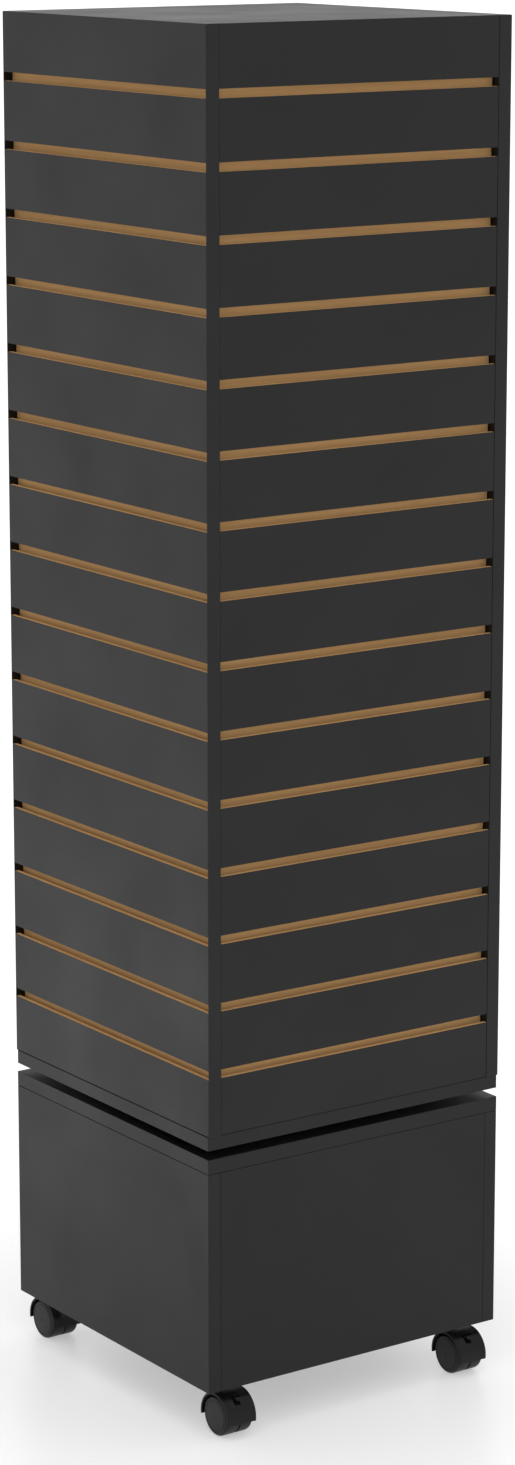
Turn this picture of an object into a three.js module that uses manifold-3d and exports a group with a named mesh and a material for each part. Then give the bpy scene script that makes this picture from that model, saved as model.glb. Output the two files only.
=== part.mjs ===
// Four-sided slatwall display tower on a rolling base: the tower turns on a ball-bearing turntable,
// and the base stands on four hooded twin-wheel casters.
// Millimetres, +Z up. The origin is on the floor under the middle of the base, and the front is -Y.
import * as THREE from 'three';
import { mergeVertices } from 'three/addons/utils/BufferGeometryUtils.js';
import Module from 'manifold-3d';

const wasm = await Module();
wasm.setup();

// ---- Driving dimensions ----

// Fits
const SEAM = 0.2; // between two boards that butt together
const BAND_SEAM = 0.1; // between a thin strip and the board under it
const RUNNING_GAP = 0.3; // between two pieces that turn past each other
const SCREW_CLEARANCE = 0.3; // around a screw's shank

// Boards
const BOARD_THICKNESS = 16.6; // every plain board but the two that the turntable is screwed to

// Tower
const TOWER_WIDTH = 404.6; // X, over the left and right panels
const TOWER_DEPTH = 404; // Y, over the front and back panels
const PANEL_THICKNESS = 16.6;
const GROOVE_COUNT = 15;
const GROOVE_PITCH = 76.2;
const GROOVE_MOUTH = 9.8;
const GROOVE_SLOT = 20; // height of the T-slot behind the lips
const GROOVE_LIP = 5.4; // thickness of the lips beside the mouth
const GROOVE_DEPTH = 11.4; // from the face to the back of the T-slot
const EDGE_BAND = 0.8;
const TOP_SHEET = 0.6;
const TOWER_FLOOR_THICKNESS = 16;
const TOWER_FLOOR_INSET = 2; // the front and back panels hang this far past the tower's floor board
const CLEAT_SIDE = 22; // square corner battens

// Turntable
const TURNTABLE_HEIGHT = 10.2; // clear height between the base and the tower
const TURNTABLE_SIDE = 305;
const TURNTABLE_PLATE = 1.6;
const RACE_RADIUS = 112;
const RACE_RIB_WIDTH = 2.5;
const RACE_RIB_HEIGHT = 1.5;
const BALL_COUNT = 12;
const RETAINER_WIDTH = 9;
const RETAINER_THICKNESS = 1.4;
const CENTRE_HOLE_RADIUS = 24;
const SCREW_INSET = 16; // from the plate's edges to a screw's axis
const SCREW_RADIUS = 2;
const SCREW_LENGTH = 12;
const SCREW_HEAD_RADIUS = 3.8;
const SCREW_HEAD_HEIGHT = 1.6;
const SCREW_HEAD_CHAMFER = 0.8;

// Base
const BASE_SETBACK = 1.4; // the base's front and back stand this far behind the tower's
const BASE_PANEL_HEIGHT = 257.4;
const BASE_TOP_THICKNESS = 17;

// Casters
const CASTER_INSET = 38; // from the base's faces to a kingpin
const CASTER_TRAIL = 21; // from the kingpin to the axle
const CASTER_WIDTH = 39;
const PLATE_SIDE = 58;
const PLATE_THICKNESS = 2.5;
const PLATE_HOLE_INSET = 8;
const PLATE_HOLE_RADIUS = 2.6;
const PLATE_CORNER_RADIUS = 6;
const BEARING_RADIUS = 13;
const BEARING_HEIGHT = 2.6;
const KINGPIN_RADIUS = 4;
const KINGPIN_DEPTH = 10; // length inside the hood's boss
const KINGPIN_CHAMFER = 1;
const BOSS_RADIUS = 9.5;
const BOSS_RISE = 8; // the boss starts this far above the axle
const WHEEL_RADIUS = 23;
const WHEEL_ROUND = 4; // rounding of the outer rim
const WHEEL_CHAMFER = 1.5; // on the inner rim
const WHEEL_DOME = 0.8; // the outer face bulges this much
const WHEEL_SIDE_GAP = 0.5; // the wheel's dome stops this far inside the hood's end
const AXLE_RADIUS = 3;
const AXLE_BORE_DEPTH = 11;
const WEB_THICKNESS = 2.6;
const WEB_SETBACK = 1; // the web's lower half stops this far inside the wheels' treads
const HOOD_CLEARANCE = 2; // between the tread and the hood
const HOOD_WALL = 3;
const HOOD_SKIRT = 4.5; // the hood ends this far below the axle
const HEAD_ROOM = 8.4; // from the top of the hood to the underside of the base
const WINDOW_WIDTH = 8; // opening in the hood on its outer shoulder
const WINDOW_HEIGHT = 11;
const WINDOW_ANGLE = 42; // degrees above the axle

// Roundness, in sides, and how far a cutter runs past the face that it opens
const RING_SIDES = 28;
const WHEEL_SIDES = 20;
const HUB_SIDES = 24;
const PIN_SIDES = 16;
const SCREW_SIDES = 12;
const OVERRUN = 1;

// ---- Levels and places that follow from them ----

const CASTER_HEIGHT = 2 * WHEEL_RADIUS + HOOD_CLEARANCE + HOOD_WALL + HEAD_ROOM;
const BASE_WIDTH = TOWER_WIDTH;
const BASE_DEPTH = TOWER_DEPTH - 2 * BASE_SETBACK;
const BASE_BOTTOM = CASTER_HEIGHT;
const BASE_TOP_BOTTOM = BASE_BOTTOM + BASE_PANEL_HEIGHT + SEAM;
const BASE_TOP = BASE_TOP_BOTTOM + BASE_TOP_THICKNESS;
const TOWER_BOTTOM = BASE_TOP + TURNTABLE_HEIGHT;
const PANEL_BOTTOM = TOWER_BOTTOM + TOWER_FLOOR_THICKNESS + SEAM;
const SLAT_HEIGHT = GROOVE_PITCH - GROOVE_MOUTH;
const PANEL_HEIGHT = GROOVE_COUNT * GROOVE_PITCH + SLAT_HEIGHT;
const PANEL_TOP = PANEL_BOTTOM + PANEL_HEIGHT;
const TOP_BOARD_BOTTOM = PANEL_TOP - BOARD_THICKNESS;
const TOWER_INNER_WIDTH = TOWER_WIDTH - 2 * PANEL_THICKNESS;
const TOWER_INNER_DEPTH = TOWER_DEPTH - 2 * PANEL_THICKNESS;
const BASE_INNER_WIDTH = BASE_WIDTH - 2 * BOARD_THICKNESS;
const BASE_INNER_DEPTH = BASE_DEPTH - 2 * BOARD_THICKNESS;
const LOWER_PLATE_BOTTOM = BASE_TOP + SEAM;
const LOWER_PLATE_TOP = LOWER_PLATE_BOTTOM + TURNTABLE_PLATE;
const UPPER_PLATE_TOP = TOWER_BOTTOM - SEAM;
const UPPER_PLATE_BOTTOM = UPPER_PLATE_TOP - TURNTABLE_PLATE;
const RACE_MIDDLE = (LOWER_PLATE_TOP + UPPER_PLATE_BOTTOM) / 2;
const BALL_RADIUS = (UPPER_PLATE_BOTTOM - LOWER_PLATE_TOP) / 2 - RUNNING_GAP;
const SCREW_OFFSET = TURNTABLE_SIDE / 2 - SCREW_INSET;
const KINGPIN_X = BASE_WIDTH / 2 - CASTER_INSET;
const KINGPIN_Y = BASE_DEPTH / 2 - CASTER_INSET;
const PLATE_TOP = CASTER_HEIGHT - SEAM;
const PLATE_BOTTOM = PLATE_TOP - PLATE_THICKNESS;
const BEARING_TOP = PLATE_BOTTOM - SEAM;
const BOSS_TOP = BEARING_TOP - BEARING_HEIGHT - RUNNING_GAP;
const HOOD_INNER = WHEEL_RADIUS + HOOD_CLEARANCE;
const HOOD_OUTER = HOOD_INNER + HOOD_WALL;
const WHEEL_INNER_FACE = WEB_THICKNESS / 2 + RUNNING_GAP;
const WHEEL_WIDTH = CASTER_WIDTH / 2 - WHEEL_SIDE_GAP - WHEEL_DOME - WHEEL_INNER_FACE;

// ---- Materials ----

const finish = (color, roughness, metalness) => () => (
  new THREE.MeshStandardMaterial({ color, roughness, metalness })
);
const melamine = finish(0x2b2b2b, 0.45, 0);
const battenWood = finish(0xb9935f, 0.8, 0);
const zincSteel = finish(0xb8bcc0, 0.35, 0.9);
const blackNylon = finish(0x1d1d1e, 0.4, 0);
const wheelNylon = finish(0x262627, 0.5, 0);
const retainerNylon = finish(0xd8d8d0, 0.5, 0);

// ---- Tools ----

const model = new THREE.Group();

function add(name, geometry, material, parent = model) {
  const mesh = new THREE.Mesh(geometry, material());
  mesh.name = name;
  parent.add(mesh);
  return mesh;
}

function toSolid(geometry) {
  const bare = geometry.clone();
  bare.deleteAttribute('normal');
  bare.deleteAttribute('uv');
  const merged = mergeVertices(bare, 1e-4);
  return new wasm.Manifold(new wasm.Mesh({
    numProp: 3,
    vertProperties: Float32Array.from(merged.attributes.position.array),
    triVerts: Uint32Array.from(merged.index.array),
  }));
}

function toGeometry(solid) {
  const { vertProperties, triVerts } = solid.getMesh();
  const geometry = new THREE.BufferGeometry();
  geometry.setAttribute('position', new THREE.BufferAttribute(vertProperties, 3));
  geometry.setIndex(new THREE.BufferAttribute(triVerts, 1));
  geometry.computeVertexNormals();
  return geometry;
}

function cut(geometry, cutters) {
  const left = cutters.reduce((solid, cutter) => solid.subtract(toSolid(cutter)), toSolid(geometry));
  return toGeometry(left);
}

function join(geometries) {
  const [first, ...others] = geometries.map(toSolid);
  return toGeometry(others.reduce((solid, other) => solid.add(other), first));
}

// A box between two heights, centred on (x, y).
function boxBetween(width, depth, bottom, top, x = 0, y = 0) {
  return new THREE.BoxGeometry(width, depth, top - bottom).translate(x, y, (bottom + top) / 2);
}

// An upright cylinder between two heights.
function post(radius, bottom, top, x = 0, y = 0, segments = PIN_SIDES) {
  return new THREE.CylinderGeometry(radius, radius, top - bottom, segments)
    .rotateX(Math.PI / 2)
    .translate(x, y, (bottom + top) / 2);
}

// A profile of [radius, height] points turned about Z, listed from its bottom outwards and up.
function turned(profile, segments) {
  const points = profile.map(([radius, height]) => new THREE.Vector2(radius, height));
  return new THREE.LatheGeometry(points, segments).rotateX(Math.PI / 2);
}

// The four corners of a rectangle, as [x, y].
function corners(x, y) {
  return [[-x, -y], [x, -y], [x, y], [-x, y]];
}

// ---- Tower ----

// Section of a slatwall panel: x from its face (0) inwards, y up from its lower edge.
function slatwallSection() {
  const shape = new THREE.Shape();
  shape.moveTo(-PANEL_THICKNESS, 0);
  shape.lineTo(0, 0);
  for (let i = 0; i < GROOVE_COUNT; i += 1) {
    const low = SLAT_HEIGHT + i * GROOVE_PITCH;
    const high = low + GROOVE_MOUTH;
    const undercut = (GROOVE_SLOT - GROOVE_MOUTH) / 2;
    shape.lineTo(0, low);
    shape.lineTo(-GROOVE_LIP, low);
    shape.lineTo(-GROOVE_LIP, low - undercut);
    shape.lineTo(-GROOVE_DEPTH, low - undercut);
    shape.lineTo(-GROOVE_DEPTH, high + undercut);
    shape.lineTo(-GROOVE_LIP, high + undercut);
    shape.lineTo(-GROOVE_LIP, high);
    shape.lineTo(0, high);
  }
  shape.lineTo(0, PANEL_HEIGHT);
  shape.lineTo(-PANEL_THICKNESS, PANEL_HEIGHT);
  shape.closePath();
  return shape;
}

// A slatwall panel of the given length whose face looks along outward, at a distance from the axis.
function slatwallPanel(name, outward, distance, length) {
  const geometry = new THREE.ExtrudeGeometry(slatwallSection(), { depth: length, bevelEnabled: false });
  geometry.translate(0, 0, -length / 2);
  const up = new THREE.Vector3(0, 0, 1);
  const along = new THREE.Vector3().crossVectors(outward, up);
  geometry.applyMatrix4(new THREE.Matrix4().makeBasis(outward, up, along));
  const panel = add(name, geometry, melamine);
  panel.position.copy(outward).multiplyScalar(distance);
  panel.position.z = PANEL_BOTTOM;
}

function buildTowerPanels() {
  const sideLength = TOWER_DEPTH - 2 * (EDGE_BAND + BAND_SEAM);
  const frontLength = TOWER_INNER_WIDTH - 2 * SEAM;
  slatwallPanel('tower_left_panel', new THREE.Vector3(-1, 0, 0), TOWER_WIDTH / 2, sideLength);
  slatwallPanel('tower_right_panel', new THREE.Vector3(1, 0, 0), TOWER_WIDTH / 2, sideLength);
  slatwallPanel('tower_front_panel', new THREE.Vector3(0, -1, 0), TOWER_DEPTH / 2, frontLength);
  slatwallPanel('tower_back_panel', new THREE.Vector3(0, 1, 0), TOWER_DEPTH / 2, frontLength);
}

// Thin strips that close the grooved ends of the left and right panels.
function buildEdgeBands() {
  const x = (TOWER_WIDTH - PANEL_THICKNESS) / 2;
  const y = (TOWER_DEPTH - EDGE_BAND) / 2;
  for (const [side, sx] of [['left', -1], ['right', 1]]) {
    for (const [end, sy] of [['front', -1], ['back', 1]]) {
      const strip = boxBetween(PANEL_THICKNESS, EDGE_BAND, PANEL_BOTTOM, PANEL_TOP, sx * x, sy * y);
      add(`tower_${side}_panel_${end}_band`, strip, melamine);
    }
  }
}

// The four screw holes that a turntable plate's board needs, between two heights.
function pilotHoles(bottom, top) {
  const radius = SCREW_RADIUS + SCREW_CLEARANCE;
  return corners(SCREW_OFFSET, SCREW_OFFSET).map(([x, y]) => post(radius, bottom, top, x, y, SCREW_SIDES));
}

function buildTowerBoards() {
  const width = TOWER_INNER_WIDTH - 2 * SEAM;
  const depth = TOWER_INNER_DEPTH - 2 * SEAM;
  add('tower_top_board', boxBetween(width, depth, TOP_BOARD_BOTTOM, PANEL_TOP), melamine);
  const sheetBottom = PANEL_TOP + BAND_SEAM;
  const sheet = boxBetween(TOWER_WIDTH, TOWER_DEPTH, sheetBottom, sheetBottom + TOP_SHEET);
  add('tower_top_sheet', sheet, melamine);
  const floorTop = TOWER_BOTTOM + TOWER_FLOOR_THICKNESS;
  const floor = boxBetween(TOWER_WIDTH, TOWER_DEPTH - 2 * TOWER_FLOOR_INSET, TOWER_BOTTOM, floorTop);
  const holeTop = UPPER_PLATE_BOTTOM + SCREW_LENGTH + SCREW_CLEARANCE;
  add('tower_floor_board', cut(floor, pilotHoles(TOWER_BOTTOM - OVERRUN, holeTop)), melamine);
}

// Battens in the tower's inner corners, which the panels are screwed to.
function buildCleats() {
  const x = TOWER_INNER_WIDTH / 2 - SEAM - CLEAT_SIDE / 2;
  const y = TOWER_INNER_DEPTH / 2 - SEAM - CLEAT_SIDE / 2;
  const names = ['front_left', 'front_right', 'back_right', 'back_left'];
  corners(x, y).forEach(([cx, cy], i) => {
    const top = TOP_BOARD_BOTTOM - SEAM;
    const cleat = boxBetween(CLEAT_SIDE, CLEAT_SIDE, PANEL_BOTTOM, top, cx, cy);
    add(`tower_${names[i]}_cleat`, cleat, battenWood);
  });
}

// ---- Turntable ----

// A ring between two radii and two heights.
function ring(inner, outer, bottom, top, segments) {
  return turned([[inner, bottom], [outer, bottom], [outer, top], [inner, top], [inner, bottom]], segments);
}

// A square steel plate with two round ribs that keep the balls on their track.
// The ribs stand on the side that side points to, from the plate's inner face.
function turntablePlate(bottom, side) {
  const top = bottom + TURNTABLE_PLATE;
  const plate = boxBetween(TURNTABLE_SIDE, TURNTABLE_SIDE, bottom, top);
  const innerFace = side > 0 ? top : bottom;
  const ribLow = Math.min(innerFace - side * TURNTABLE_PLATE / 2, innerFace + side * RACE_RIB_HEIGHT);
  const ribHigh = Math.max(innerFace - side * TURNTABLE_PLATE / 2, innerFace + side * RACE_RIB_HEIGHT);
  const track = BALL_RADIUS + RUNNING_GAP;
  const ribs = [
    ring(RACE_RADIUS - track - RACE_RIB_WIDTH, RACE_RADIUS - track, ribLow, ribHigh, RING_SIDES),
    ring(RACE_RADIUS + track, RACE_RADIUS + track + RACE_RIB_WIDTH, ribLow, ribHigh, RING_SIDES),
  ];
  const low = bottom - OVERRUN;
  const high = top + OVERRUN;
  const holes = [post(CENTRE_HOLE_RADIUS, low, high, 0, 0, HUB_SIDES), ...pilotHoles(low, high)];
  return cut(join([plate, ...ribs]), holes);
}

// The balls sit in a flat nylon ring that travels round with them.
function ballRing() {
  const half = RETAINER_THICKNESS / 2;
  const retainer = ring(
    RACE_RADIUS - RETAINER_WIDTH / 2,
    RACE_RADIUS + RETAINER_WIDTH / 2,
    RACE_MIDDLE - half,
    RACE_MIDDLE + half,
    RING_SIDES,
  );
  const balls = Array.from({ length: BALL_COUNT }, (_, i) => {
    const angle = (i + 0.5) / BALL_COUNT * 2 * Math.PI;
    const x = RACE_RADIUS * Math.cos(angle);
    const y = RACE_RADIUS * Math.sin(angle);
    return new THREE.SphereGeometry(BALL_RADIUS, 8, 5).rotateX(Math.PI / 2).translate(x, y, RACE_MIDDLE);
  });
  return join([retainer, ...balls]);
}

// A pan-head screw that starts at its head's underside and points up.
function screw() {
  const shoulder = SCREW_HEAD_RADIUS - SCREW_HEAD_CHAMFER;
  return turned([
    [0, -SCREW_HEAD_HEIGHT],
    [shoulder, -SCREW_HEAD_HEIGHT],
    [SCREW_HEAD_RADIUS, -SCREW_HEAD_HEIGHT / 2],
    [SCREW_HEAD_RADIUS, 0],
    [SCREW_RADIUS, 0],
    [SCREW_RADIUS, SCREW_LENGTH - 2 * SCREW_RADIUS],
    [0, SCREW_LENGTH],
  ], SCREW_SIDES);
}

function buildTurntable() {
  add('turntable_lower_plate', turntablePlate(LOWER_PLATE_BOTTOM, 1), zincSteel);
  add('turntable_upper_plate', turntablePlate(UPPER_PLATE_BOTTOM, -1), zincSteel);
  add('turntable_ball_ring', ballRing(), retainerNylon);
  corners(SCREW_OFFSET, SCREW_OFFSET).forEach(([x, y], i) => {
    const lower = add(`turntable_lower_screw_${i + 1}`, screw(), zincSteel);
    lower.rotation.x = Math.PI;
    lower.position.set(x, y, LOWER_PLATE_TOP + BAND_SEAM);
    const upper = add(`turntable_upper_screw_${i + 1}`, screw(), zincSteel);
    upper.position.set(x, y, UPPER_PLATE_BOTTOM - BAND_SEAM);
  });
}

// ---- Base ----

function buildBase() {
  const top = BASE_BOTTOM + BASE_PANEL_HEIGHT;
  const x = (BASE_WIDTH - BOARD_THICKNESS) / 2;
  const y = (BASE_DEPTH - BOARD_THICKNESS) / 2;
  const innerWidth = BASE_INNER_WIDTH - 2 * SEAM;
  const innerDepth = BASE_INNER_DEPTH - 2 * SEAM;
  for (const [side, sign] of [['left', -1], ['right', 1]]) {
    const panel = boxBetween(BOARD_THICKNESS, BASE_DEPTH, BASE_BOTTOM, top, sign * x, 0);
    add(`base_${side}_panel`, panel, melamine);
  }
  for (const [side, sign] of [['front', -1], ['back', 1]]) {
    const panel = boxBetween(innerWidth, BOARD_THICKNESS, BASE_BOTTOM, top, 0, sign * y);
    add(`base_${side}_panel`, panel, melamine);
  }
  const floorTop = BASE_BOTTOM + BOARD_THICKNESS;
  add('base_floor_board', boxBetween(innerWidth, innerDepth, BASE_BOTTOM, floorTop), melamine);
  const lid = boxBetween(BASE_WIDTH, BASE_DEPTH, BASE_TOP_BOTTOM, BASE_TOP);
  const holeBottom = LOWER_PLATE_TOP - SCREW_LENGTH - SCREW_CLEARANCE;
  add('base_top_board', cut(lid, pilotHoles(holeBottom, BASE_TOP + OVERRUN)), melamine);
}

// ---- Casters ----
// A caster is drawn with its kingpin on Z, its floor at 0 and its axle along X, trailing towards -Y.

function casterPlate() {
  const half = PLATE_SIDE / 2;
  const straight = half - PLATE_CORNER_RADIUS;
  const outline = new THREE.Shape();
  corners(straight, straight).forEach(([x, y], i) => {
    const start = (i + 2) * Math.PI / 2;
    outline.absarc(x, y, PLATE_CORNER_RADIUS, start, start + Math.PI / 2, false);
  });
  outline.closePath();
  const plate = new THREE.ExtrudeGeometry(outline, {
    depth: PLATE_THICKNESS,
    bevelEnabled: false,
    curveSegments: 3,
  }).translate(0, 0, PLATE_BOTTOM);
  const offset = half - PLATE_HOLE_INSET;
  const low = PLATE_BOTTOM - OVERRUN;
  const high = PLATE_TOP + OVERRUN;
  const cutters = corners(offset, offset).map(
    ([x, y]) => post(PLATE_HOLE_RADIUS, low, high, x, y, SCREW_SIDES),
  );
  cutters.push(post(KINGPIN_RADIUS + RUNNING_GAP, low, high));
  return cut(plate, cutters);
}

function casterBearing() {
  const bottom = BEARING_TOP - BEARING_HEIGHT;
  return ring(KINGPIN_RADIUS + RUNNING_GAP, BEARING_RADIUS, bottom, BEARING_TOP, WHEEL_SIDES);
}

function casterKingpin() {
  const bottom = BOSS_TOP - KINGPIN_DEPTH;
  return turned([
    [0, bottom],
    [KINGPIN_RADIUS - KINGPIN_CHAMFER, bottom],
    [KINGPIN_RADIUS, bottom + KINGPIN_CHAMFER],
    [KINGPIN_RADIUS, PLATE_TOP],
    [0, PLATE_TOP],
  ], PIN_SIDES);
}

// A shape of [y, z] points about the axle, drawn in the wheel's plane and extruded along X.
function alongAxle(shape, width, curveSegments) {
  return new THREE.ExtrudeGeometry(shape, { depth: width, bevelEnabled: false, curveSegments })
    .translate(0, 0, -width / 2)
    .applyMatrix4(new THREE.Matrix4().makeBasis(
      new THREE.Vector3(0, 1, 0),
      new THREE.Vector3(0, 0, 1),
      new THREE.Vector3(1, 0, 0),
    ))
    .translate(0, -CASTER_TRAIL, WHEEL_RADIUS);
}

// The hood: a curved shell over both wheels, a web between them and a boss for the kingpin.
function casterHood() {
  const outerEnd = Math.asin(HOOD_SKIRT / HOOD_OUTER);
  const innerEnd = Math.asin(HOOD_SKIRT / HOOD_INNER);
  const shellShape = new THREE.Shape();
  shellShape.absarc(0, 0, HOOD_OUTER, -outerEnd, Math.PI + outerEnd, false);
  shellShape.absarc(0, 0, HOOD_INNER, Math.PI + innerEnd, -innerEnd, true);
  shellShape.closePath();
  const shell = alongAxle(shellShape, CASTER_WIDTH, 12);

  const webRadius = HOOD_INNER + HOOD_WALL / 2;
  const tailRadius = WHEEL_RADIUS - WEB_SETBACK;
  const webShape = new THREE.Shape();
  webShape.absarc(0, 0, webRadius, 0, Math.PI, false);
  webShape.lineTo(-tailRadius, 0);
  webShape.absarc(0, 0, tailRadius, Math.PI, 2 * Math.PI, false);
  webShape.closePath();
  const web = alongAxle(webShape, WEB_THICKNESS, 6);

  const wheelSpace = new THREE.CylinderGeometry(HOOD_INNER, HOOD_INNER, CASTER_WIDTH, HUB_SIDES)
    .rotateZ(Math.PI / 2)
    .translate(0, -CASTER_TRAIL, WHEEL_RADIUS);
  const boss = cut(post(BOSS_RADIUS, WHEEL_RADIUS + BOSS_RISE, BOSS_TOP), [wheelSpace]);

  const windowMiddle = (HOOD_INNER + HOOD_OUTER) / 2;
  const window = new THREE.BoxGeometry(WINDOW_WIDTH, 2 * HOOD_WALL, WINDOW_HEIGHT)
    .translate(0, -windowMiddle, 0)
    .rotateX(-THREE.MathUtils.degToRad(WINDOW_ANGLE))
    .translate(0, -CASTER_TRAIL, WHEEL_RADIUS);
  const cutters = [
    window,
    post(KINGPIN_RADIUS + RUNNING_GAP, BOSS_TOP - KINGPIN_DEPTH - RUNNING_GAP, BOSS_TOP + OVERRUN),
    axlePin(AXLE_RADIUS + RUNNING_GAP, CASTER_WIDTH),
  ];
  return cut(join([shell, web, boss]), cutters);
}

// A pin of the given radius and length along the axle.
function axlePin(radius, length) {
  return new THREE.CylinderGeometry(radius, radius, length, PIN_SIDES)
    .rotateZ(Math.PI / 2)
    .translate(0, -CASTER_TRAIL, WHEEL_RADIUS);
}

// One wheel, drawn upright on Z from its inner face, then laid on the axle on the side side points to.
function casterWheel(side) {
  const bore = AXLE_RADIUS + RUNNING_GAP;
  const profile = [
    [0, AXLE_BORE_DEPTH],
    [bore, AXLE_BORE_DEPTH],
    [bore, 0],
    [WHEEL_RADIUS - WHEEL_CHAMFER, 0],
    [WHEEL_RADIUS, WHEEL_CHAMFER],
  ];
  for (let i = 0; i <= 3; i += 1) {
    const angle = i / 3 * Math.PI / 2;
    profile.push([
      WHEEL_RADIUS - WHEEL_ROUND * (1 - Math.cos(angle)),
      WHEEL_WIDTH - WHEEL_ROUND * (1 - Math.sin(angle)),
    ]);
  }
  profile.push([0, WHEEL_WIDTH + WHEEL_DOME]);
  return turned(profile, WHEEL_SIDES)
    .rotateY(side * Math.PI / 2)
    .translate(side * WHEEL_INNER_FACE, -CASTER_TRAIL, WHEEL_RADIUS);
}

function buildCaster(corner, x, y) {
  const place = new THREE.Group();
  place.position.set(x, y, 0);
  place.rotation.z = y > 0 ? Math.PI : 0;
  model.add(place);
  const name = (piece) => `caster_${corner}_${piece}`;
  const axleLength = 2 * (WHEEL_INNER_FACE + AXLE_BORE_DEPTH - RUNNING_GAP);
  add(name('plate'), casterPlate(), zincSteel, place);
  add(name('bearing'), casterBearing(), zincSteel, place);
  add(name('kingpin'), casterKingpin(), zincSteel, place);
  add(name('hood'), casterHood(), blackNylon, place);
  add(name('axle'), axlePin(AXLE_RADIUS, axleLength), zincSteel, place);
  add(name('wheel_a'), casterWheel(-1), wheelNylon, place);
  add(name('wheel_b'), casterWheel(1), wheelNylon, place);
}

// ---- Assembly ----

buildTowerPanels();
buildEdgeBands();
buildTowerBoards();
buildCleats();
buildTurntable();
buildBase();
['front_left', 'front_right', 'back_right', 'back_left'].forEach((corner, i) => {
  const [x, y] = corners(KINGPIN_X, KINGPIN_Y)[i];
  buildCaster(corner, x, y);
});

export default model;
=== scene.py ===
"""Looks for the four-sided slatwall tower that turns on a rolling base. Metres, Z up, in the CAD's frame."""

import math

import bmesh
import bpy
from mathutils import Matrix, Vector


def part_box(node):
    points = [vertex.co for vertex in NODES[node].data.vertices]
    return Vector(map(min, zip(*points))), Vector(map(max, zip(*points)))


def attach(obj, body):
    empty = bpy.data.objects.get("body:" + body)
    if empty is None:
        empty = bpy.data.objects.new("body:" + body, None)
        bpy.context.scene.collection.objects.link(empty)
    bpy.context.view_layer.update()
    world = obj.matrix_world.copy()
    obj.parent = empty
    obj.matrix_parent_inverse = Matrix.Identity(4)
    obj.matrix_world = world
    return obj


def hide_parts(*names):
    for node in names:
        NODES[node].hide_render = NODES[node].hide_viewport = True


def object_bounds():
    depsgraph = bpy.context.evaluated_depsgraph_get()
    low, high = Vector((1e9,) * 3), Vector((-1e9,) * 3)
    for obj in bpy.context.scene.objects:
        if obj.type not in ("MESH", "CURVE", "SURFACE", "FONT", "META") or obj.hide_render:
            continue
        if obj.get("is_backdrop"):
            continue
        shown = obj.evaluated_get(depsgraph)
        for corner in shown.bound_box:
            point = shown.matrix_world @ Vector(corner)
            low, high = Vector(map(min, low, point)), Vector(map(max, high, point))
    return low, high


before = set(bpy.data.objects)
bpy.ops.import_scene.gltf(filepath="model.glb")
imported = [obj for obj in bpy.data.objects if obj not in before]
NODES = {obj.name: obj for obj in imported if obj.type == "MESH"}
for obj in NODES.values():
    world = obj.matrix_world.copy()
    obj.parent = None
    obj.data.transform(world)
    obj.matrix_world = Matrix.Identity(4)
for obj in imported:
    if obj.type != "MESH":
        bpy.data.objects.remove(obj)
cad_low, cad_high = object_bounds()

CORNERS = ("front_left", "front_right", "back_right", "back_left")


# ---- Camera ----

def make_camera():
    """The main viewpoint: it looks from the front left, a little downwards."""
    data = bpy.data.cameras.new("camera")
    data.sensor_width = 36
    data.lens = 97.43
    data.clip_end = 200
    camera = bpy.data.objects.new("camera", data)
    bpy.context.scene.collection.objects.link(camera)
    yaw, pitch = math.radians(34.951), math.radians(-12.619)
    ahead = Vector((math.sin(yaw) * math.cos(pitch), math.cos(yaw) * math.cos(pitch), math.sin(pitch)))
    camera.location = (-2.5450, -3.6471, 1.7513)
    camera.rotation_mode = "QUATERNION"
    camera.rotation_quaternion = ahead.to_track_quat("-Z", "Y")
    bpy.context.scene.camera = camera


# ---- Material tools ----

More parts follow.
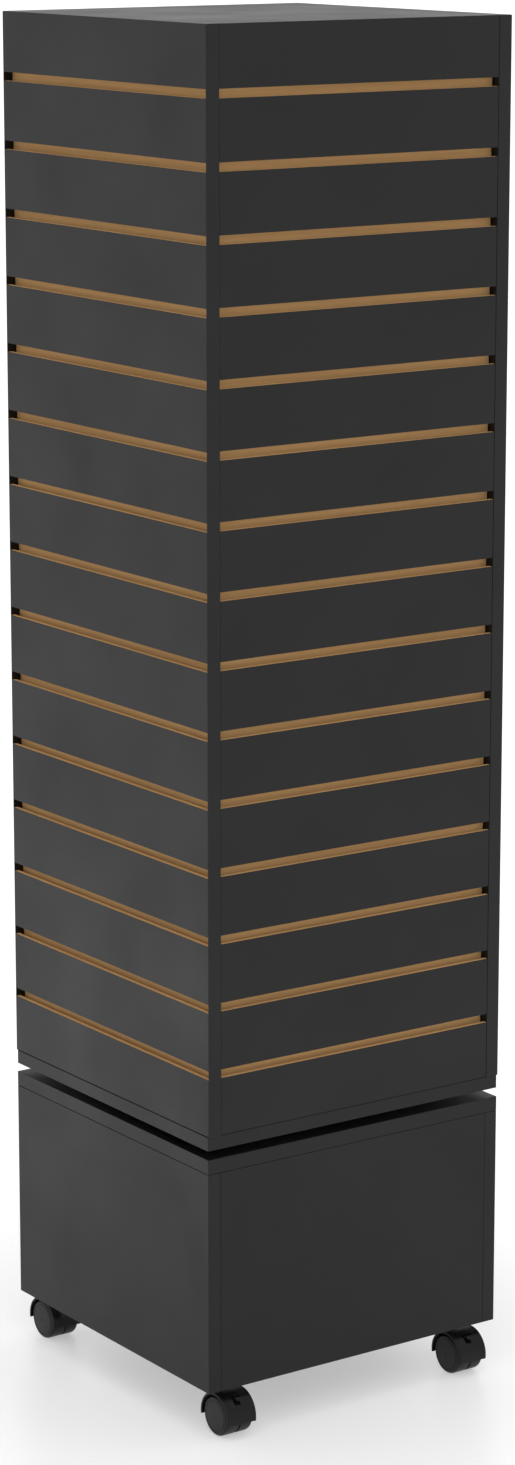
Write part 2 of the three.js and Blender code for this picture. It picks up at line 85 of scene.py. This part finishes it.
class Paint:
    """A material being made: a Principled shader, object coordinates, and short calls that add nodes."""

    def __init__(self, name, color, roughness, **sockets):
        self.material = bpy.data.materials.new(name)
        self.material.use_nodes = True
        self.tree = self.material.node_tree
        self.tree.nodes.clear()
        self.shader = self.node("ShaderNodeBsdfPrincipled")
        self.shader.inputs["Base Color"].default_value = (*color, 1)
        self.shader.inputs["Roughness"].default_value = roughness
        for socket, value in sockets.items():
            self.shader.inputs[socket.replace("_", " ")].default_value = value
        self.link(self.shader.outputs[0], self.node("ShaderNodeOutputMaterial").inputs[0])
        self.place = self.node("ShaderNodeTexCoord").outputs["Object"]
        self.material.diffuse_color = (*color, 1)

    def node(self, kind):
        return self.tree.nodes.new(kind)

    def link(self, output, socket):
        self.tree.links.new(output, socket)

    def feed(self, socket, value):
        """Links value to the socket if it is an output, and sets it if it is a number or colour."""
        if isinstance(value, bpy.types.NodeSocket):
            self.link(value, socket)
        else:
            socket.default_value = value

    def stretched(self, scale):
        mapping = self.node("ShaderNodeMapping")
        mapping.inputs["Scale"].default_value = scale
        self.link(self.place, mapping.inputs["Vector"])
        return mapping.outputs[0]

    def noise(self, scale, detail=2, roughness=0.5, stretch=None, distortion=0):
        texture = self.node("ShaderNodeTexNoise")
        texture.inputs["Scale"].default_value = scale
        texture.inputs["Detail"].default_value = detail
        texture.inputs["Roughness"].default_value = roughness
        texture.inputs["Distortion"].default_value = distortion
        self.link(self.stretched(stretch) if stretch else self.place, texture.inputs["Vector"])
        return texture.outputs["Fac"]

    def between(self, value, low, high, to_low=0.0, to_high=1.0):
        """value rescaled from low..high to to_low..to_high, and held there outside that range."""
        scaled = self.node("ShaderNodeMapRange")
        for name, number in (("From Min", low), ("From Max", high), ("To Min", to_low), ("To Max", to_high)):
            scaled.inputs[name].default_value = number
        self.link(value, scaled.inputs["Value"])
        return scaled.outputs[0]

    def mix(self, share, first, second):
        """A colour from first to second by share."""
        mixer = self.node("ShaderNodeMix")
        mixer.data_type = "RGBA"
        self.feed(mixer.inputs[0], share)
        for socket, color in ((mixer.inputs[6], first), (mixer.inputs[7], second)):
            self.feed(socket, (*color, 1) if isinstance(color, tuple) else color)
        return mixer.outputs[2]

    def math(self, operation, first, second=0.0):
        node = self.node("ShaderNodeMath")
        node.operation = operation
        self.feed(node.inputs[0], first)
        self.feed(node.inputs[1], second)
        return node.outputs[0]

    def color(self, value):
        self.link(value, self.shader.inputs["Base Color"])

    def roughness(self, value):
        self.link(value, self.shader.inputs["Roughness"])

    def bump(self, height, depth, strength=1.0):
        """Raises the surface by height times depth, in metres."""
        node = self.node("ShaderNodeBump")
        node.inputs["Strength"].default_value = strength
        node.inputs["Distance"].default_value = depth
        self.link(height, node.inputs["Height"])
        self.link(node.outputs[0], self.shader.inputs["Normal"])

    def axis(self, letter):
        """The object coordinate along one axis."""
        split = self.node("ShaderNodeSeparateXYZ")
        self.link(self.place, split.inputs[0])
        return split.outputs[letter]


BLACK_SPECULAR = 0.27
BLACK_DARK = (0.0044, 0.0044, 0.0045)
BLACK_LIGHT = (0.0062, 0.0062, 0.0063)
BLACK_DUST = (0.016, 0.016, 0.016)
# Painted shade: the colour put where shadow falls in the joints between boards and at the foot of the
# slatwall panels.
PAINTED_SHADE_BLACK = (0.0012, 0.0012, 0.0012)
EDGE_RADIUS = 0.00045
END_SKIN = 0.0006  # this much of a slatwall board's end is black
END_SHADE_LINE = 0.0008  # width of the painted shade line at one end of each front and back panel, where it meets a side panel
FOOT_SHADE_LINE = 0.0009  # height of the painted shadow line at the foot of the panels


def satin_black(paint):
    """Black melamine's colour, roughness and fine pebbling: a faint cloudiness and a few dust specks."""
    cloud = paint.noise(5, detail=4)
    tone = paint.mix(paint.between(cloud, 0.35, 0.65), BLACK_DARK, BLACK_LIGHT)
    specks = paint.between(paint.noise(700, detail=1), 0.74, 0.78)
    shine = paint.between(paint.noise(9, detail=5), 0.3, 0.7, 0.40, 0.50)
    return paint.mix(specks, tone, BLACK_DUST), shine, paint.noise(1400, detail=2)


def black_board(name, specular):
    paint = Paint(name, BLACK_DARK, 0.45, Specular_IOR_Level=specular)
    tone, shine, pebble = satin_black(paint)
    paint.color(tone)
    paint.roughness(shine)
    paint.bump(pebble, 0.00002)
    return paint.material


def eased_edge():
    """The boards' rounded edges: polished a little where hands reach them, and painted with shade where two
    boards meet.
    """
    paint = Paint("eased_edge", BLACK_DARK, 0.5, Specular_IOR_Level=0.2)
    x, y, z = (paint.axis(letter) for letter in "XYZ")
    low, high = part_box("base_left_panel")
    near = 0.0012
    corner = paint.math("MULTIPLY", paint.math("GREATER_THAN", paint.math("ABSOLUTE", x), high.x - near),
                        paint.math("GREATER_THAN", paint.math("ABSOLUTE", y), high.y - 2 * near))
    outline = corner
    for level in (low.z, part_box("base_top_board")[1].z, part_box("tower_floor_board")[0].z, cad_high.z):
        height = paint.math("ABSOLUTE", paint.math("SUBTRACT", z, level))
        outline = paint.math("ADD", outline, paint.math("LESS_THAN", height, near))
    worn = paint.between(paint.noise(60, detail=5, roughness=0.65), 0.42, 0.7)
    polished = paint.mix(worn, BLACK_LIGHT, (0.014, 0.014, 0.014))
    # Painted shade on the edges away from the outer outline, for the shadow in the gaps between boards;
    # polished wear on the outline.
    paint.color(paint.mix(paint.between(outline, 0, 1), PAINTED_SHADE_BLACK, polished))
    paint.roughness(paint.between(outline, 0, 1, 0.9, 0.4))
    paint.bump(paint.noise(900), 0.00002)
    return paint.material


def slat_board(letter, face, thickness, end, bottom):
    """A slatwall board whose faces lie across the named axis: black melamine on both faces, raw tan
    fibreboard in the grooves, and painted shade lines at its foot and where its end meets another board."""
    paint = Paint(f"slatwall_{letter.lower()}", BLACK_DARK, 0.45, Specular_IOR_Level=BLACK_SPECULAR)
    tone, shine, pebble = satin_black(paint)
    across = {"X": "Y", "Y": "X"}[letter]
    stretch = {"X": (6, 0.12, 6), "Y": (0.12, 6, 6)}[letter]
    streaks = paint.noise(30, detail=5, roughness=0.6, stretch=stretch)
    fibres = paint.noise(2200, detail=3, roughness=0.7)
    core = paint.mix(paint.between(streaks, 0.3, 0.7), (0.515, 0.318, 0.134), (0.625, 0.402, 0.18))
    core = paint.mix(paint.between(fibres, 0.52, 0.72, 0, 0.5), core, (0.34, 0.195, 0.078))
    depth = paint.math("SUBTRACT", face, paint.math("ABSOLUTE", paint.axis(letter)))
    skin, blend = 0.0002, 0.0002
    cut = paint.math("MULTIPLY", paint.between(depth, skin, skin + blend),
                     paint.between(depth, thickness - skin - blend, thickness - skin, 1, 0))
    place = paint.axis(across)
    within = paint.math("LESS_THAN", paint.math("ABSOLUTE", place), end - END_SKIN)
    cut = paint.math("MULTIPLY", cut, within)
    # Painted shade at the foot of the panel and at one end of the front and back panels, standing in for the
    # shadow in the joints.
    painted_shade = paint.math("LESS_THAN", paint.axis("Z"), bottom + FOOT_SHADE_LINE)
    if letter == "Y":
        side = paint.math("MULTIPLY", place, paint.math("SIGN", paint.axis(letter)))
        painted_shade = paint.math("MAXIMUM", painted_shade, paint.math("LESS_THAN", side, END_SHADE_LINE - end))
    cut = paint.math("MULTIPLY", cut, paint.math("SUBTRACT", 1.0, painted_shade))
    tone = paint.mix(painted_shade, tone, PAINTED_SHADE_BLACK)
    shine = paint.math("ADD", shine, paint.math("MULTIPLY", painted_shade, 0.5))
    paint.color(paint.mix(cut, tone, core))
    paint.roughness(paint.math("ADD", shine, paint.math("MULTIPLY", cut, 0.42)))
    rough_core = paint.math("MULTIPLY", cut, paint.between(fibres, 0, 1, 0, 4))
    paint.bump(paint.math("ADD", rough_core, pebble), 0.00002)
    return paint.material


def planed_wood():
    paint = Paint("planed_softwood", (0.55, 0.38, 0.2), 0.65)
    grain = paint.noise(38, detail=6, roughness=0.6, stretch=(1, 1, 0.06), distortion=0.6)
    paint.color(paint.mix(paint.between(grain, 0.35, 0.65), (0.60, 0.43, 0.24), (0.44, 0.27, 0.13)))
    paint.roughness(paint.between(grain, 0.3, 0.7, 0.55, 0.8))
    paint.bump(grain, 0.0002)
    return paint.material


def zinc():
    paint = Paint("zinc_plate", (0.62, 0.63, 0.65), 0.32, Metallic=1.0)
    spangle = paint.noise(240, detail=3, roughness=0.7)
    paint.color(paint.mix(paint.between(spangle, 0.35, 0.65), (0.52, 0.53, 0.55), (0.70, 0.71, 0.72)))
    paint.roughness(paint.between(spangle, 0.3, 0.7, 0.26, 0.42))
    paint.bump(paint.noise(600, detail=2), 0.00002)
    return paint.material


def black_nylon(name, color, shine, specular):
    """Moulded black nylon: spark-eroded grain and slight flow marks."""
    paint = Paint(name, color, shine, Specular_IOR_Level=specular)
    grain = paint.noise(1700, detail=2)
    flow = paint.noise(55, detail=3, distortion=0.8)
    lighter = tuple(c * 1.35 for c in color)
    paint.color(paint.mix(paint.between(flow, 0.35, 0.7), color, lighter))
    paint.roughness(paint.between(flow, 0.3, 0.7, shine - 0.05, shine + 0.07))
    paint.bump(grain, 0.00003)
    return paint.material


def pale_nylon():
    paint = Paint("natural_nylon", (0.72, 0.71, 0.66), 0.45)
    cloud = paint.noise(150, detail=3)
    paint.color(paint.mix(paint.between(cloud, 0.3, 0.7), (0.74, 0.73, 0.68), (0.63, 0.62, 0.57)))
    paint.bump(paint.noise(1500), 0.00002)
    return paint.material


# ---- Mesh tools ----

def add_bevel(piece, radius, degrees):
    """Rounds the edges that turn by more than the given angle."""
    bevel = piece.modifiers.new("bevel", "BEVEL")
    bevel.width = radius
    bevel.segments = 3
    bevel.limit_method = "ANGLE"
    bevel.angle_limit = math.radians(degrees)
    return bevel


def dress(node, material, edge=None, radius=0.0):
    """Gives a CAD node its material, and rounds its edges, in the edge material if there is one."""
    piece = NODES[node]
    piece.material_slots[0].material = material
    if not radius:
        return
    weld = piece.modifiers.new("weld", "WELD")
    weld.merge_threshold = 0.00001
    bevel = add_bevel(piece, radius, 40)
    if edge:
        piece.data.materials.append(edge)
        bevel.material = 1


def lathe(profile, steps=72, start=0.0, sweep=2 * math.pi):
    """A closed solid: (radius, height) points turned about Z. Part of a turn takes a closed loop."""
    mesh = bmesh.new()
    whole = sweep == 2 * math.pi
    angles = [start + sweep * i / steps for i in range(steps if whole else steps + 1)]
    rings = [[mesh.verts.new((r * math.cos(a), r * math.sin(a), h)) for r, h in profile] for a in angles]
    around = list(zip(rings, rings[1:] + rings[:1])) if whole else list(zip(rings, rings[1:]))
    count = len(profile)
    for one, other in around:
        for i in range(count - 1 if whole else count):
            j = (i + 1) % count
            mesh.faces.new((one[i], other[i], other[j], one[j]))
    if not whole:
        mesh.faces.new(rings[0])
        mesh.faces.new(rings[-1])
    bmesh.ops.remove_doubles(mesh, verts=mesh.verts, dist=1e-7)
    bmesh.ops.dissolve_degenerate(mesh, edges=mesh.edges, dist=1e-7)
    bmesh.ops.recalc_face_normals(mesh, faces=mesh.faces)
    return mesh


def block(low, high, radius=0.0):
    """A box between two corners, with rounded edges if a radius is given."""
    mesh = bmesh.new()
    bmesh.ops.create_cube(mesh, size=1)
    size = Vector(high) - Vector(low)
    bmesh.ops.scale(mesh, vec=size, verts=mesh.verts)
    bmesh.ops.translate(mesh, vec=(Vector(high) + Vector(low)) / 2, verts=mesh.verts)
    if radius:
        bmesh.ops.bevel(mesh, geom=mesh.edges[:], offset=radius, segments=3, profile=0.5, affect="EDGES")
    return mesh


def arc(radius, height, size, start, end, steps=5):
    """Points of a fillet whose centre is at (radius, height), between two angles in degrees."""
    turns = [math.radians(start + (end - start) * i / steps) for i in range(steps + 1)]
    return [(radius + size * math.cos(t), height + size * math.sin(t)) for t in turns]


def moved(mesh, matrix):
    bmesh.ops.transform(mesh, matrix=matrix, verts=mesh.verts)
    return mesh


def shape(name, mesh):
    """A scene object made from a mesh under construction."""
    data = bpy.data.meshes.new(name)
    mesh.to_mesh(data)
    mesh.free()
    made = bpy.data.objects.new(name, data)
    bpy.context.scene.collection.objects.link(made)
    return made


def carved(base, steps, radius=0.0):
    """The mesh data of base after each (operation, mesh) step, with sharp edges rounded by the radius."""
    body = shape("carving", base)
    tools = [body]
    for operation, mesh in steps:
        tool = shape("tool", mesh)
        tools.append(tool)
        step = body.modifiers.new(operation, "BOOLEAN")
        step.operation = operation
        step.solver = "EXACT"
        step.object = tool
    if radius:
        add_bevel(body, radius, 42)
    bpy.context.view_layer.update()
    data = bpy.data.meshes.new_from_object(body.evaluated_get(bpy.context.evaluated_depsgraph_get()))
    for tool in tools:
        bpy.data.objects.remove(tool)
    return data


def less(base, tool):
    """A mesh under construction: base less the tool. Both are used up."""
    mesh = bmesh.new()
    mesh.from_mesh(carved(base, [("DIFFERENCE", tool)]))
    return mesh


def place_piece(name, data, matrix, material, body, slot, *nodes):
    """Puts mesh data in the scene as a piece that rides on body and stands for the CAD nodes."""
    data = data.copy()
    data.transform(matrix)
    data.materials.clear()
    data.materials.append(material)
    data.shade_smooth()
    data.set_sharp_from_angle(angle=math.radians(38))
    piece = bpy.data.objects.new(name, data)
    bpy.context.scene.collection.objects.link(piece)
    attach(piece, body)
    if nodes:
        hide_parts(*nodes)


def finished(mesh):
    """Mesh data from a mesh under construction."""
    data = bpy.data.meshes.new("finished")
    mesh.to_mesh(data)
    mesh.free()
    return data


# ---- Stage ----

def make_stage():
    """A pale floor that brightens away from the object, an even white world and three soft lights."""
    mesh = bmesh.new()
    bmesh.ops.create_grid(mesh, x_segments=1, y_segments=1, size=60)
    data = bpy.data.meshes.new("floor")
    mesh.to_mesh(data)
    floor = bpy.data.objects.new("floor", data)
    floor.location.z = -0.0002
    bpy.context.scene.collection.objects.link(floor)
    paint = Paint("pale_floor", (0.57, 0.57, 0.57), 0.32, Specular_IOR_Level=0.35)
    paint.shader.inputs["Emission Color"].default_value = (1, 1, 1, 1)
    away = paint.math("SQRT", paint.math("ADD", paint.math("POWER", paint.axis("X"), 2.0),
                                         paint.math("POWER", paint.axis("Y"), 2.0)))
    # The floor glows, less near the object: painted light on the floor, with painted shade around the object.
    paint.link(paint.between(away, 0.3, 0.9, 0.42, 0.57), paint.shader.inputs["Emission Strength"])
    data.materials.append(paint.material)
    floor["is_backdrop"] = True

    world = bpy.data.worlds.new("studio")
    world.use_nodes = True
    background = world.node_tree.nodes["Background"]
    background.inputs["Color"].default_value = (1, 1, 1, 1)
    background.inputs["Strength"].default_value = 0.87
    bpy.context.scene.world = world

    add_light("key", (-2.2, -4.2, 4.5), (0, 0, 0.8), 3.0, 45)
    add_light("overhead", (-0.6, -0.6, 4.2), (-0.6, -0.6, 0), 3.0, 22)
    add_light("pool", (-1.15, 1.2, 1.5), (-1.15, 1.2, 0), 0.8, 5, 55)


def add_light(name, place, target, size, power, spread=180):
    data = bpy.data.lights.new(name, "AREA")
    data.shape = "DISK"
    data.size = size
    data.energy = power
    data.spread = math.radians(spread)
    light = bpy.data.objects.new(name, data)
    light.location = place
    light.rotation_mode = "QUATERNION"
    light.rotation_quaternion = (Vector(target) - Vector(place)).to_track_quat("-Z", "Y")
    bpy.context.scene.collection.objects.link(light)


# ---- Hardware ----

AXLE_BORE = 0.0033  # radius
AXLE_BORE_DEPTH = 0.0112
KINGPIN_BORE = 0.0043  # radius
KINGPIN_BORE_DEPTH = 0.0103
BOSS_RADIUS = 0.0095
BOSS_RISE = 0.008  # the boss starts this far above the axle
HOOD_CLEARANCE = 0.002  # between the tread and the hood
HOOD_SKIRT = 0.0045  # the hood ends this far below the axle
HOOD_RIM = 0.0016  # rounding of the hood's rims
WEB_HALF = 0.0013
WEB_SETBACK = 0.001
SLOT_TILT = math.radians(-49)
PLATE_HOLE_INSET = 0.008
BALL_COUNT = 12
RACE_RADIUS = 0.112
RETAINER_HALF_WIDTH = 0.0045
RETAINER_HALF_THICKNESS = 0.0007
PAST = 0.001  # how far a cutter runs past what it cuts
FAR = 0.1  # further than any part of a caster reaches

# A solid turned about Z is laid along the axle: its Z becomes X, and its angle runs from +Y up to +Z.
ALONG_X = Matrix(((0, 0, 1, 0), (1, 0, 0, 0), (0, 1, 0, 0), (0, 0, 0, 1)))


def screw_data(head, shank, length):
    """A pan-head cross-recess screw: its head hangs below height 0 and its shank points up."""
    tall = head * 0.42
    profile = [(0, -tall), (head * 0.62, -tall)]
    profile += arc(head - tall * 0.7, -tall * 0.3, tall * 0.7, -90, 0)
    profile += [(head, 0), (shank, 0), (shank, length - 2 * shank), (0, length)]
    arm, blade, deep = head * 0.52, head * 0.09, tall * 0.6
    cross = [block((-arm, -blade, -tall - PAST), (arm, blade, -tall + deep)),
             block((-blade, -arm, -tall - PAST), (blade, arm, -tall + deep))]
    return carved(lathe(profile, 32), [("DIFFERENCE", mesh) for mesh in cross], head * 0.03)


def wheel_data(radius, width):
    """A moulded wheel standing on Z, its inner face at 0: a plain tread, a round shoulder and a disc that
    is set off by a fine groove."""
    shoulder, groove, recess, corner = 0.0038, 0.0004, 0.0009, 0.0006
    profile = [(0, AXLE_BORE_DEPTH), (AXLE_BORE, AXLE_BORE_DEPTH), (AXLE_BORE, 0), (0.0075, 0)]
    profile += [(0.0082, recess), (radius - 0.0045, recess), (radius - 0.0038, 0), (radius - corner, 0)]
    profile += arc(radius - corner, corner, corner, -90, 0, 4)
    face = width - 0.0004
    profile += arc(radius - shoulder, face - shoulder, shoulder, 0, 80, 8)
    rim = radius - shoulder - 0.0006
    profile += [(rim, face), (rim - 0.0002, face - groove), (rim - 0.0008, face - groove)]
    profile.append((rim - 0.001, face))
    dome = 0.0003
    profile += [((rim - 0.001) * s, face + dome * (1 - s * s)) for s in (0.85, 0.65, 0.45, 0.25)]
    profile += [(0.0022, width - 0.00012), (0.0018, width - 0.0005), (0, width - 0.0005)]
    return finished(lathe(profile, 96))


def hood_data(wheel, outer, half, boss_top, trail):
    """The caster's hood about its axle: a shell with beaded rims, a web between the wheels, a boss for the
    kingpin, and on its outer shoulder a slot with a small latch in it."""
    inner, bead, flat = wheel + HOOD_CLEARANCE, 0.003, 0.0004
    loop = [(inner, -half + 0.0005), (inner + 0.0004, -half)]
    loop += arc(outer - HOOD_RIM, -half + HOOD_RIM, HOOD_RIM, -90, 0, 5)[1:]
    loop += [(outer, -half + bead), (outer - flat, -half + bead + 0.0005)]
    loop += [(r, -h) for r, h in reversed(loop)]
    reach = math.asin(HOOD_SKIRT / outer)
    shell = lathe(loop, 60, -reach, math.pi + 2 * reach)

    root, tail = inner + 0.0015, wheel - WEB_SETBACK
    web = lathe([(0, -WEB_HALF), (root, -WEB_HALF), (root, WEB_HALF), (0, WEB_HALF)], 60)
    lower = block((-FAR, -FAR, -FAR), (FAR, 0, FAR))
    end = half + PAST
    bore = lathe([(0, -end), (AXLE_BORE, -end), (AXLE_BORE, end), (0, end)], 32)
    disc = lathe([(0, -WEB_HALF), (tail, -WEB_HALF), (tail, WEB_HALF), (0, WEB_HALF)], 72)
    for mesh in (shell, web, lower, bore, disc):
        moved(mesh, ALONG_X)

    space = moved(lathe([(0, -half), (inner, -half), (inner, half), (0, half)], 72), ALONG_X)
    chamfer = 0.0008
    boss = lathe([(0, BOSS_RISE), (BOSS_RADIUS, BOSS_RISE), (BOSS_RADIUS, boss_top - chamfer),
                  (BOSS_RADIUS - chamfer, boss_top), (0, boss_top)], 48)
    moved(boss, Matrix.Translation((0, trail, 0)))
    foot = boss_top - KINGPIN_BORE_DEPTH
    kingpin = lathe([(0, foot), (KINGPIN_BORE, foot), (KINGPIN_BORE, FAR), (0, FAR)], 32)
    moved(kingpin, Matrix.Translation((0, trail, 0)))
    boss = less(boss, space)

    # The slot and the slit go right through the shell, and the latch stands a little proud of it.
    tilt = Matrix.Rotation(SLOT_TILT, 4, "X")
    middle = (inner + outer) / 2
    near, far = -middle - 0.003, -middle + 0.003
    slot = moved(block((-0.006, near, -0.0055), (0.002, far, 0.0055)), tilt)
    slit = moved(block((-0.0075, near, 0.0045), (0.0065, far, 0.0064)), tilt)
    latch = block((-0.0022, -outer - 0.0014, -0.0012), (0.0017, -inner + 0.0002, 0.0036), 0.0006)
    moved(latch, tilt)
    added = [("DIFFERENCE", lower), ("UNION", disc), ("UNION", shell), ("UNION", boss)]
    window = [("DIFFERENCE", slot), ("DIFFERENCE", slit), ("UNION", latch)]
    bores = [("DIFFERENCE", bore), ("DIFFERENCE", kingpin)]
    return carved(web, added + window + bores, 0.00035)


def race_data(radius, height):
    """The pressed swivel race under a caster's plate, standing from 0 to its height."""
    profile = [(KINGPIN_BORE, 0), (radius * 0.62, 0)]
    profile += arc(radius - 0.0011, height - 0.0013, 0.0011, -80, 0, 4)
    profile += [(radius, height), (KINGPIN_BORE, height), (KINGPIN_BORE, 0)]
    return finished(lathe(profile, 64))


def make_casters(nylon, tyre, metal):
    """Four casters of one design; the back ones are turned about, so that every axle trails outward."""
    screw = screw_data(head=0.0042, shank=0.0021, length=0.012)
    data = {}
    for corner in CORNERS:
        name = f"caster_{corner}"
        pin_low, pin_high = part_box(f"{name}_kingpin")
        pin = (pin_low + pin_high) / 2
        low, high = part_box(f"{name}_wheel_a")
        axle = (low + high) / 2
        radius, width = (high.z - low.z) / 2, high.x - low.x
        hood_low, hood_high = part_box(f"{name}_hood")
        outward = 1 if axle.y > pin.y else -1
        turn = Matrix.Rotation(math.pi if outward > 0 else 0, 4, "Z")
        at_axle = Matrix.Translation((pin.x, axle.y, axle.z)) @ turn
        race_low, race_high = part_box(f"{name}_bearing")
        if not data:
            data["hood"] = hood_data(radius, axle.y - hood_low.y, (hood_high.x - hood_low.x) / 2,
                                     hood_high.z - axle.z, abs(axle.y - pin.y))
            data["wheel"] = wheel_data(radius, width)
            data["race"] = race_data((race_high.x - race_low.x) / 2, race_high.z - race_low.z)
        place_piece(f"{name}_hood_moulded", data["hood"], at_axle, nylon, f"{name}_fork", "hood_nylon",
                    f"{name}_hood")
        for letter in "ab":
            node = f"{name}_wheel_{letter}"
            low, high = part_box(node)
            side = 1 if (low.x + high.x) / 2 > pin.x else -1
            inner = low.x if side > 0 else high.x
            lay = Matrix.Translation((inner, axle.y, axle.z)) @ Matrix.Rotation(side * math.pi / 2, 4, "Y")
            place_piece(f"{node}_moulded", data["wheel"], lay, tyre, node, "wheel_nylon", node)
        under_plate = Matrix.Translation((pin.x, pin.y, race_low.z))
        place_piece(f"{name}_race", data["race"], under_plate, metal, "base", "zinc_steel", f"{name}_bearing")
        plate_low, plate_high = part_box(f"{name}_plate")
        reach = (plate_high.x - plate_low.x) / 2 - PLATE_HOLE_INSET
        for i, (x, y) in enumerate(((-1, -1), (1, -1), (1, 1), (-1, 1))):
            spot = Matrix.Translation((pin.x + x * reach, pin.y + y * reach, plate_low.z))
            place_piece(f"{name}_plate_screw_{i + 1}", screw, spot, metal, "base", "zinc_steel")


def make_turntable(metal, pale):
    """The ball ring, with round balls, and the screws in the turntable's plates."""
    low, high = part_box("turntable_ball_ring")
    middle, ball = (low.z + high.z) / 2, (high.z - low.z) / 2
    corner = 0.0003
    wide, tall = RETAINER_HALF_WIDTH - corner, RETAINER_HALF_THICKNESS - corner
    section = []
    for i, (x, z) in enumerate(((wide, tall), (-wide, tall), (-wide, -tall), (wide, -tall))):
        section += arc(RACE_RADIUS + x, z, corner, 90 * i, 90 * i + 90, 2)
    ring = finished(lathe(section + section[:1], 144))
    up = Matrix.Translation((0, 0, middle))
    place_piece("ball_retainer", ring, up, pale, "ball_ring", "ball_retainer", "turntable_ball_ring")
    sphere = bmesh.new()
    bmesh.ops.create_uvsphere(sphere, u_segments=32, v_segments=20, radius=ball)
    sphere = finished(sphere)
    for i in range(BALL_COUNT):
        angle = (i + 0.5) / BALL_COUNT * 2 * math.pi
        spot = Matrix.Translation((RACE_RADIUS * math.cos(angle), RACE_RADIUS * math.sin(angle), middle))
        place_piece(f"ball_{i + 1}", sphere, spot, metal, "ball_ring", "zinc_steel")
    screw = screw_data(head=0.0038, shank=0.002, length=0.012)
    head_height = 0.0016
    for level, body, turn in (("lower", "base", math.pi), ("upper", "tower", 0)):
        for i in range(1, 5):
            node = f"turntable_{level}_screw_{i}"
            low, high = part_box(node)
            face = low.z + head_height if turn == 0 else high.z - head_height
            spot = Matrix.Translation(((low.x + high.x) / 2, (low.y + high.y) / 2, face))
            spot = spot @ Matrix.Rotation(turn, 4, "X")
            place_piece(f"{node}_turned", screw, spot, metal, body, "zinc_steel", node)


# ---- The object ----

make_camera()
make_stage()
bpy.context.scene.view_settings.view_transform = "Standard"

board = black_board("black_melamine", BLACK_SPECULAR)
laminate = black_board("black_laminate", 0.45)
edge = eased_edge()
for axis, sides in enumerate((("left", "right"), ("front", "back"))):
    low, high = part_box(f"tower_{sides[1]}_panel")
    material = slat_board("XY"[axis], high[axis], high[axis] - low[axis], high[1 - axis], low.z)
    for side in sides:
        dress(f"tower_{side}_panel", material, radius=0.0003)
for name in NODES:
    if name.endswith(("_band", "_sheet")):
        dress(name, laminate if name.endswith("_sheet") else board, radius=0.0002)
    elif name.startswith("base_") or name.endswith("_board"):
        dress(name, board, edge, EDGE_RADIUS)

nylon = black_nylon("hood_nylon_black", (0.0042, 0.0042, 0.0044), 0.34, 0.2)
tyre = black_nylon("wheel_nylon_black", (0.006, 0.006, 0.0062), 0.42, 0.24)
metal = zinc()
wood = planed_wood()
pale = pale_nylon()
make_casters(nylon, tyre, metal)
make_turntable(metal, pale)
for name in NODES:
    if name.endswith("_cleat"):
        dress(name, wood, radius=0.001)
    elif name.endswith(("_plate", "_kingpin", "_axle")):
        dress(name, metal, radius=0.0002)

low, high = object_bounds()
